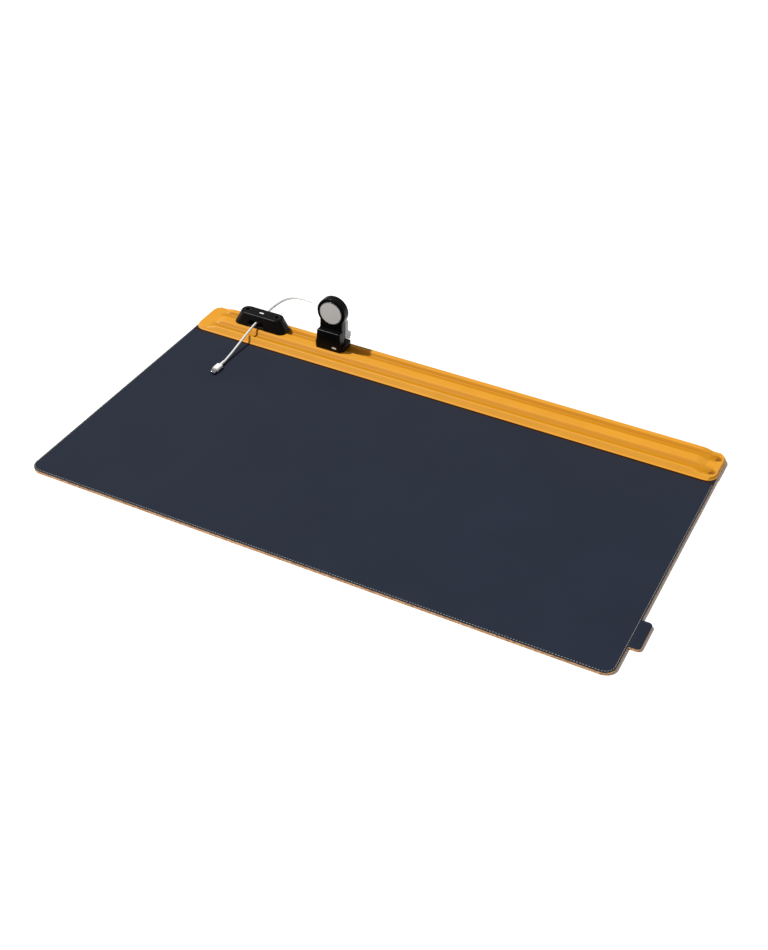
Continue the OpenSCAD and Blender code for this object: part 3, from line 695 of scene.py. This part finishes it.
def make_rail():
    """The moulding as one skin of stations along X, each a section squeezed to the rounded outline."""
    section = rail_section()
    depths = [0.0]
    for d in section[:, 0]:
        while d - depths[-1] > 1.1:
            depths.append(depths[-1] + 1.0)
        if d - depths[-1] > 0.02:
            depths.append(float(d))
    depths = np.array(depths)
    near = np.concatenate([MAT_R * (1 - np.cos(np.linspace(0, math.pi / 2, 26))), np.arange(12.6, 32, 0.7)])
    ends = MAT_W - near[::-1]
    pocket = np.arange(POCKET_X - POCKET_RUN, POCKET_X + 5, 0.4)
    middle = np.linspace(34, MAT_W - 34, 29)
    stations = np.unique(np.round(np.concatenate([near, middle, ends, pocket]), 3))
    rings = []
    for x in stations:
        end = min(x, MAT_W - x)
        cut = MAT_R - math.sqrt(max(MAT_R ** 2 - (MAT_R - min(end, MAT_R)) ** 2, 0))
        cut = min(cut, MAT_R - 0.15) if end < 0.001 else cut
        y = cut + depths / RAIL_D * (RAIL_D - 2 * cut)
        z = rail_heights(np.full_like(y, x), y, section)
        ring = [(x, RAIL_Y + v, MAT_TOP + h) for v, h in zip(y, z)]
        back, front, tuck = RAIL_Y + y[-1], RAIL_Y + y[0], min(UNDERCUT, (y[-1] - y[0]) / 4)
        ring += [(x, back, MAT_TOP), (x, front + tuck, MAT_TOP), (x, front + tuck, MAT_TOP + 0.36),
                 (x, front, MAT_TOP + 0.46)]
        rings.append(ring)
    mesh = mesh_of("rail_moulding", *loft(rings))
    # room for the base plate and for the steel strip, then the screw holes
    cutters = [block((4, RAIL_Y + 4, MAT_TOP - 1), (MAT_W - 20, RAIL_Y + 48, MAT_TOP + 1.3), 5),
               block((33.5, RAIL_Y + 21.6, MAT_TOP + 1), (MAT_W - 33.5, RAIL_Y + 31.2, MAT_TOP + 4.4))]
    for i in range(RAIL_SCREW_COLUMNS):
        x = 40 + i * (MAT_W - 80) / (RAIL_SCREW_COLUMNS - 1)
        for y in RAIL_SCREW_ROWS:
            cutters.append(cylinder((x, RAIL_Y + y, MAT_TOP + 0.5), 1.15, 3.5, steps=24))
    return collect("rail_moulding", carved(mesh, cutters), "mat", "rail", 32)


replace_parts(make_rail(), "rail_shell")

# ---- the cable dock ----


def softened_block(foot, top, r, z0, z1, soft, steps=5):
    """(points, faces) of a block from a foot rectangle to a top one, with a round top edge."""
    # (inset, share of the way from the foot's rectangle to the top's, z)
    rows = [(0.2, 0.0, z0), (0.0, 0.0, z0 + 0.2), (0.0, 1.0, z1 - soft)]
    for i in range(1, steps + 1):
        a = math.pi / 2 * i / steps
        rows.append((soft * (1 - math.cos(a)), 1.0, z1 - soft + soft * math.sin(a)))
    rings = []
    for inset, lean, z in rows:
        x0, y0, x1, y1 = (f + (t - f) * lean for f, t in zip(foot, top))
        corner = max(r - inset, 0.3)
        outline = rounded_rect(x0 + inset, y0 + inset, x1 - inset, y1 - inset, corner, 10)
        rings.append([(x, y, z) for x, y in outline])
    return loft(rings)


DOCK_FOOT, DOCK_TOP = node_box("dock_shell")
DOCK_X = (DOCK_FOOT[0] + DOCK_TOP[0]) / 2
DOCK_LEAN, DOCK_R = (6.5, 2.6), 8
ARCH_X, ARCH_W, ARCH_TOP = DOCK_X - 3.2, 21, 19.1
ARCH_LEFT, ARCH_RIGHT = ARCH_X - ARCH_W / 2, ARCH_X + ARCH_W / 2
SOCKETS = (DOCK_X - 19.25, DOCK_X + 19.25)
SOCKET_Y = RAIL_Y + 35
SOCKET_SEAT, SOCKET_WALL, SOCKET_DEPTH = 4.0, 5.4, 8.9
DOCK_SCREW_Y = RAIL_Y + CHANNELS[1]
DOCK_SCREWS = (DOCK_X - 27.1, ARCH_LEFT - 5.4, ARCH_RIGHT + 5.4, DOCK_X + 27.1)
# The shell's walls at its foot, beside the arch and at its ends, and where the hollow space ends
DOCK_WALL, ARCH_WALL, END_WALL, HOLLOW_TOP = 4.8, 2.2, 5.0, 22


def arch_tool():
    """The arch that cables pass under, with round upper corners, cut along Y."""
    x0, x1, r = ARCH_LEFT, ARCH_RIGHT, 4.0
    outline = [(x0, DOCK_FOOT[2] - 3), (x1, DOCK_FOOT[2] - 3)]
    for cx, start in ((x1 - r, 0), (x0 + r, 90)):
        for i in range(9):
            a = math.radians(start + 90 * i / 8)
            outline.append((cx + r * math.cos(a), ARCH_TOP - r + r * math.sin(a)))
    return loft([[(x, y, z) for x, z in outline] for y in (DOCK_TOP[1] + 5, DOCK_FOOT[1] - 5)])


def make_dock():
    foot = (DOCK_FOOT[0], DOCK_FOOT[1], DOCK_TOP[0], DOCK_TOP[1])
    lean = (DOCK_LEAN[0], DOCK_LEAN[1], -DOCK_LEAN[0], -DOCK_LEAN[1])
    top = tuple(f + step for f, step in zip(foot, lean))
    shape = softened_block(foot, top, DOCK_R, DOCK_FOOT[2], DOCK_TOP[2], 1.7)
    mesh = mesh_of("dock_housing", *shape)
    low, high = node_box("dock_base")
    recess = block((low[0] - 0.15, low[1] + 3.7, 8), (high[0] + 0.15, high[1] - 3.7, 12.75), 2.5)
    cutters = [arch_tool(), recess]
    # a hollow at each side of the arch, round the posts of the screws and the sockets
    for x0, x1 in ((low[0] + END_WALL, ARCH_LEFT - ARCH_WALL), (ARCH_RIGHT + ARCH_WALL, high[0] - END_WALL)):
        room = block((x0, foot[1] + DOCK_WALL, 8.7), (x1, foot[3] - DOCK_WALL, HOLLOW_TOP), 2.5)
        posts = [cylinder((x, DOCK_SCREW_Y, 8), 2.2, 20, steps=24) for x in DOCK_SCREWS]
        posts += [cylinder((x, SOCKET_Y, 14.2), SOCKET_WALL, 20) for x in SOCKETS]
        cut = carved(mesh_of("hollow", *room), posts)
        cutters.append(([tuple(in_mat(v.co)) for v in cut.vertices],
                        [tuple(f.vertices) for f in cut.polygons]))
    cutters += [cylinder((x, SOCKET_Y, DOCK_TOP[2] - SOCKET_DEPTH), SOCKET_SEAT, 20) for x in SOCKETS]
    cutters += [cylinder((x, DOCK_SCREW_Y, 10), 0.95, 6.9, steps=24) for x in DOCK_SCREWS]
    return collect("dock_housing", carved(mesh, cutters), "cable_dock", "dock_black")


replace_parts(make_dock(), "dock_shell")

# ---- the watch stand ----

STAND_LOW, STAND_HIGH = node_box("stand_body")
COVER_LOW, COVER_HIGH = node_box("stand_back_cover")
STAND_X = (STAND_LOW[0] + STAND_HIGH[0]) / 2
HEAD_R = (COVER_HIGH[0] - COVER_LOW[0]) / 2
HEAD_Z = COVER_HIGH[2] - HEAD_R
NECK = 14.0
COLUMN_Y = (RAIL_Y + 23.2, RAIL_Y + 35.4)
COLUMN_HALF, COLUMN_TOP_HALF = 16, 14.5
RIDGE_TOP = MAT_TOP + RAIL_H
COLUMN_TOP = RIDGE_TOP + 24
PADDLE_Y = (RAIL_Y + 30.5, COVER_LOW[1])


def paddle_outline(inset, z0, steps=64):
    """(x, z) of the round head with its neck, seen along the rail's depth."""
    r, neck = HEAD_R - inset, NECK - inset
    join = math.asin(neck / r)
    points = [(STAND_X - neck, z0), (STAND_X + neck, z0)]
    for i in range(steps + 1):
        a = -math.pi / 2 + join + (2 * math.pi - 2 * join) * i / steps
        points.append((STAND_X + r * math.cos(a), HEAD_Z + r * math.sin(a)))
    return points


def paddle(rows, z0):
    """(points, faces); rows: [(inset, y), ...] from the rear to the front."""
    return loft([[(x, y, z) for x, z in paddle_outline(inset, z0)] for inset, y in rows])


def round_rows(edge, far, r, steps=4):
    """Rows that round the edge at y = edge, towards y = far."""
    sign = 1 if far > edge else -1
    return [(r * (1 - math.sin(a)), edge + sign * r * (1 - math.cos(a)))
            for a in (math.pi / 2 * i / steps for i in range(steps + 1))]


def make_stand():
    column = softened_block((STAND_X - COLUMN_HALF, COLUMN_Y[0], STAND_X + COLUMN_HALF, COLUMN_Y[1]),
                            (STAND_X - COLUMN_TOP_HALF, COLUMN_Y[0], STAND_X + COLUMN_TOP_HALF, COLUMN_Y[1]),
                            1.8, STAND_LOW[2], COLUMN_TOP, 1.3)
    rect = (STAND_LOW[0], RAIL_Y + 26, STAND_HIGH[0], STAND_HIGH[1])
    foot = softened_block(rect, rect, 3, STAND_LOW[2], STAND_LOW[2] + 7, 0.9)
    rows = [(0, PADDLE_Y[1]), *round_rows(PADDLE_Y[0], PADDLE_Y[1], 0.9)[::-1]]
    mesh = carved(mesh_of("stand_housing", *column), [foot, paddle(rows, RIDGE_TOP + 1)], "UNION")
    (x0, y0, _), (x1, y1, top) = node_box("stand_base")
    z0 = top - 2
    # the room in the column, the foot plate's recess, the puck's seat, the wire's slot, the gland's hole
    cutters = [block((STAND_X - 12, COLUMN_Y[0] + 2, z0 - 2),
                     (STAND_X + 12, PADDLE_Y[0] - 0.4, z0 + 19.5), 1.5),
               block((x0 - 0.15, y0 - 0.15, z0 - 2), (x1 + 0.15, y1 + 0.15, z0 + 2.05), 2),
               cylinder((STAND_X, PADDLE_Y[0] + 8.2, HEAD_Z), node_radius("puck_case") + 0.05, 11.2, "y", 96),
               block((STAND_X - 2, PADDLE_Y[0] + 4, z0 + 9), (STAND_X + 2, PADDLE_Y[0] + 24, HEAD_Z)),
               cylinder((STAND_X, STAND_HIGH[1] + 10, z0 + 4.6), 2.6, 20, "y", 32)]
    cutters += [cylinder((STAND_X + x, RAIL_Y + y, z0), 0.95, 5.4, steps=24)
                for x in (-14.5, 14.5) for y in (31, 41.6)]
    return collect("stand_housing", carved(mesh, cutters), "watch_stand", "stand_black")


def node_radius(node):
    low, high = node_box(node)
    return (high[0] - low[0]) / 2


def make_back_cover():
    rows = [*round_rows(COVER_HIGH[1], COVER_LOW[1], 1.0),
            (0, COVER_LOW[1] + 0.25), (0.15, COVER_LOW[1] + 0.02)]
    mesh = mesh_of("stand_cover", *paddle(rows, COVER_LOW[2]))
    holes = [cylinder((STAND_X + x, COVER_HIGH[1] + 2, RIDGE_TOP + 13), 1.1, 9, "y", 24)
             for x in (-10, 10)]
    return collect("stand_cover", carved(mesh, holes), "watch_stand", "stand_black")


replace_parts(make_stand(), "stand_body")
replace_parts(make_back_cover(), "stand_back_cover")

# ---- plain printed bars, one on each module ----

MARK_W, MARK_H, MARK_R, MARK_HALF_T = 5.4, 2.1, 0.4, 0.05


def printed_bar(name, centre, body, facing):
    """A plain white bar, its face up or to the front."""
    x, y, z = centre
    w, h, t = MARK_W / 2, MARK_H / 2, MARK_HALF_T
    if facing == "up":
        shape = block((x - w, y - h, z - t), (x + w, y + h, z + t), MARK_R)
    else:
        outline = rounded_rect(x - w, z - h, x + w, z + h, MARK_R, 6)
        shape = loft([[(u, y + d, v) for u, v in outline] for d in (t, -t)])
    return collect(name, mesh_of(name, *shape), body, "plug_white")


printed_bar("dock_mark", (DOCK_X - 0.6, RAIL_Y + 34.2, DOCK_TOP[2]), "cable_dock", "up")
printed_bar("stand_mark", (STAND_X + 8, COLUMN_Y[0], MAT_TOP + 11), "watch_stand", "front")

# ---- softened edges on the CAD pieces that show ----

EDGE_WIDTHS = {"dock_socket_sleeves": 0.25, "puck_case": 0.3, "puck_face": 0.3, "lead_connector": 0.6,
               "lead_connector_tip": 0.3, "lead_plug": 0.8, "lead_plug_tip": 0.3, "lead_tie": 0.2,
               "dock_base": 0.2, "stand_base": 0.2, "dock_cable_grip": 0.2, "stand_cable_gland": 0.3,
               "rail_base": 0.2, "mat_core": 0.1, "rail_steel_strip": 0.15, "dock_magnets": 0.2,
               "stand_magnets": 0.2, "dock_pads": 0.1, "stand_pads": 0.1}


def soften_cad_edges():
    for name, width in EDGE_WIDTHS.items():
        node = frame["nodes"][name]
        weld = node.modifiers.new("weld", "WELD")
        weld.merge_threshold = 0.00001
        bevel = node.modifiers.new("soft_edges", "BEVEL")
        bevel.width = width * MM
        bevel.segments = 3
        bevel.limit_method = "ANGLE"
        bevel.angle_limit = math.radians(40)
        bevel.harden_normals = True


soften_cad_edges()

# ---- the lead ----

LEAD_D = 2.4
# Points the lead passes: from the connector to the dock's middle, then on to the hank
LEAD_FRONT = [(71.4, 258.5, 6.5), (71.3, 262, 6.6), (71.1, 268, 7.2), (70.9, 275, 8.1), (70.6, 283, 9.3),
              (70.3, 291, 10.6), (70, 299, 11.9), (69.7, 307, 13.2), (69.5, 315, 14.5),
              (69.35, 322, 15.7), (69.3, 328, 16.5), (69.3, 332, 16.8), (69.3, 336, 16.8),
              (69.3, 341, 16.8)]
LEAD_REAR = [(69.3, 341, 16.8), (69.3, 345, 16.8), (69, 350.5, 16.5), (67.6, 356, 15), (65.3, 361, 12.2),
             (62.8, 365.5, 9), (60.2, 369.8, 5.9), (57.6, 374, 3.5), (55.4, 379, 1.9), (54.2, 385, 1.2),
             (54, 392, 1.2), (54.4, 399, 1.2), (55.2, 406, 1.2), (56.6, 413, 1.2), (59.4, 419.5, 1.2),
             (64.2, 424.8, 1.2), (71, 428, 1.2), (79, 429, 1.2), (88, 428, 1.2), (98, 425.2, 1.2),
             (108, 421, 1.2), (117, 417, 1.3), (124.5, 414.7, 1.6)]
# The hank: its middle and heading, its straight run, the bend radii of its outer and inner turns,
# its lowest layer and the layers' pitch
HANK_AT = (140, 388.5)
HANK_TURN = math.radians(28)
HANK_RUN = 28
HANK_OUTER, HANK_INNER = 13.1, 8.2
HANK_LOW = 1.9
LAYER = 2.5
HANK_BEND = math.pi * (HANK_OUTER + HANK_INNER) / 2
HANK_LAP = 2 * (HANK_BEND + HANK_RUN)
# The last bit, across and along the hank, up to the plug
TAIL_X = 9.6
TAIL = [(TAIL_X, 14, 6.9), (TAIL_X, 11, 7.6), (TAIL_X, 8, 9), (TAIL_X, 5, 10.4), (TAIL_X, 2, 11.2)]


def on_hank(u, v, z):
    """A point given across and along the hank, in mat coordinates."""
    c, s = math.cos(HANK_TURN), math.sin(HANK_TURN)
    return (HANK_AT[0] + c * u - s * v, HANK_AT[1] + s * u + c * v, z)


def around_hank(turns, r):
    """(across, along) after so many clockwise turns from the start of the far bend, on its left."""
    s = (turns % 1) * HANK_LAP
    if s < HANK_BEND:
        a = math.pi * (1 - s / HANK_BEND)
        return r * math.cos(a), HANK_RUN / 2 + r * math.sin(a)
    if s < HANK_BEND + HANK_RUN:
        return r, HANK_RUN / 2 - (s - HANK_BEND)
    if s < 2 * HANK_BEND + HANK_RUN:
        a = -math.pi * (s - HANK_BEND - HANK_RUN) / HANK_BEND
        return r * math.cos(a), -HANK_RUN / 2 + r * math.sin(a)
    return -r, -HANK_RUN / 2 + (s - 2 * HANK_BEND - HANK_RUN)


def hank_route():
    """The wound length: three layers, each spiralling across, with a climb between them."""
    rearmost = (0.5 + HANK_TURN / math.pi) * HANK_BEND / HANK_LAP
    # (turns, first radius, last radius, climb)
    stages = [(1.5, HANK_OUTER, HANK_INNER, 0), (0.5, HANK_INNER, HANK_INNER, LAYER),
              (1.5, HANK_INNER, HANK_OUTER, 0), (0.5, HANK_OUTER, HANK_OUTER, LAYER),
              (1.0, HANK_OUTER, TAIL_X, 0)]
    points, turn, z = [], rearmost, HANK_LOW
    for turns, start, end, climb in stages:
        steps = max(8, round(turns * 48))
        for i in range(steps):
            t = i / steps
            ease = t * t * (3 - 2 * t)
            u, v = around_hank(turn + turns * t, start + (end - start) * t)
            points.append(on_hank(u, v, z + climb * ease))
        turn += turns
        z += climb
    left_over = (HANK_BEND / HANK_LAP - turn) % 1
    steps = 10
    for i in range(steps):
        points.append(on_hank(*around_hank(turn + left_over * i / steps, TAIL_X), z))
    return points


def smooth_line(points, step=1.2):
    """Points a step apart along a centripetal Catmull-Rom curve through the given ones."""
    p = [np.array(q, float) for q in points]
    p = [2 * p[0] - p[1], *p, 2 * p[-1] - p[-2]]
    line = []
    for a, b, c, d in zip(p, p[1:], p[2:], p[3:]):
        t1 = np.linalg.norm(b - a) ** 0.5
        t2 = t1 + np.linalg.norm(c - b) ** 0.5
        t3 = t2 + np.linalg.norm(d - c) ** 0.5
        count = max(1, round(np.linalg.norm(c - b) / step))
        for i in range(count):
            t = t1 + (t2 - t1) * i / count
            a1 = (t1 - t) / t1 * a + t / t1 * b
            a2 = (t2 - t) / (t2 - t1) * b + (t - t1) / (t2 - t1) * c
            a3 = (t3 - t) / (t3 - t2) * c + (t - t2) / (t3 - t2) * d
            b1 = (t2 - t) / t2 * a1 + t / t2 * a2
            b2 = (t3 - t) / (t3 - t1) * a2 + (t - t1) / (t3 - t1) * a3
            line.append((t2 - t) / (t2 - t1) * b1 + (t - t1) / (t2 - t1) * b2)
    return [*line, p[-2]]


def cord_piece(name, points, body, slot):
    """A round cord as a curve of one open spline through the points."""
    data = bpy.data.curves.new(name, "CURVE")
    data.dimensions = "3D"
    data.bevel_depth = LEAD_D / 2 * MM
    data.bevel_resolution = 5
    data.use_fill_caps = True
    line = smooth_line(points)
    spline = data.splines.new("POLY")
    spline.points.add(len(line) - 1)
    for target, place in zip(spline.points, line):
        target.co = (*at(*place), 1)
    data.materials.append(FINISH[slot])
    cord = bpy.data.objects.new(name, data)
    bpy.context.scene.collection.objects.link(cord)
    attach(cord, body)
    return cord


lead_front = cord_piece("lead_front_run", LEAD_FRONT, "cable_dock", "lead_white")
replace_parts(lead_front, "lead_front")
rear_points = [*LEAD_REAR, *hank_route(), *[on_hank(*p) for p in TAIL]]
lead_rear = cord_piece("lead_rear_run", rear_points, "cable_dock", "lead_white")
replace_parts(lead_rear, "lead_rear", "lead_hank", "lead_tail")

# ---- floor and light ----

SKY, KEY = 0.34, 3.89
KEY_SPREAD, KEY_ELEVATION, KEY_HEADING = math.radians(2.5), math.radians(60), math.radians(20)
FLOOR_HALF, FLOOR_PALE = 6.0, 0.93


def make_studio():
    scene = bpy.context.scene
    scene.view_settings.view_transform = "Standard"
    mesh = bpy.data.meshes.new("floor")
    half = FLOOR_HALF
    mesh.from_pydata([(-half, -half, 0), (half, -half, 0), (half, half, 0), (-half, half, 0)], [],
                     [(0, 1, 2, 3)])
    floor = bpy.data.objects.new("floor", mesh)
    scene.collection.objects.link(floor)
    pale = Shader("pale_floor", 0.9, specular=0.1)
    pale.set("Base Color", (FLOOR_PALE, FLOOR_PALE, FLOOR_PALE, 1))
    mesh.materials.append(pale.material)
    world = bpy.data.worlds.new("studio")
    scene.world = world
    world.use_nodes = True
    background = world.node_tree.nodes["Background"]
    background.inputs["Color"].default_value = (0.97, 0.985, 1, 1)
    background.inputs["Strength"].default_value = SKY
    data = bpy.data.lights.new("key", "SUN")
    data.energy = KEY
    data.angle = KEY_SPREAD
    data.color = (1, 0.985, 0.96)
    key = bpy.data.objects.new("key", data)
    scene.collection.objects.link(key)
    level = math.cos(KEY_ELEVATION)
    travel = Vector((level * math.cos(KEY_HEADING), level * math.sin(KEY_HEADING),
                     -math.sin(KEY_ELEVATION)))
    key.rotation_mode = "QUATERNION"
    key.rotation_quaternion = travel.to_track_quat("-Z", "Y")


make_studio()
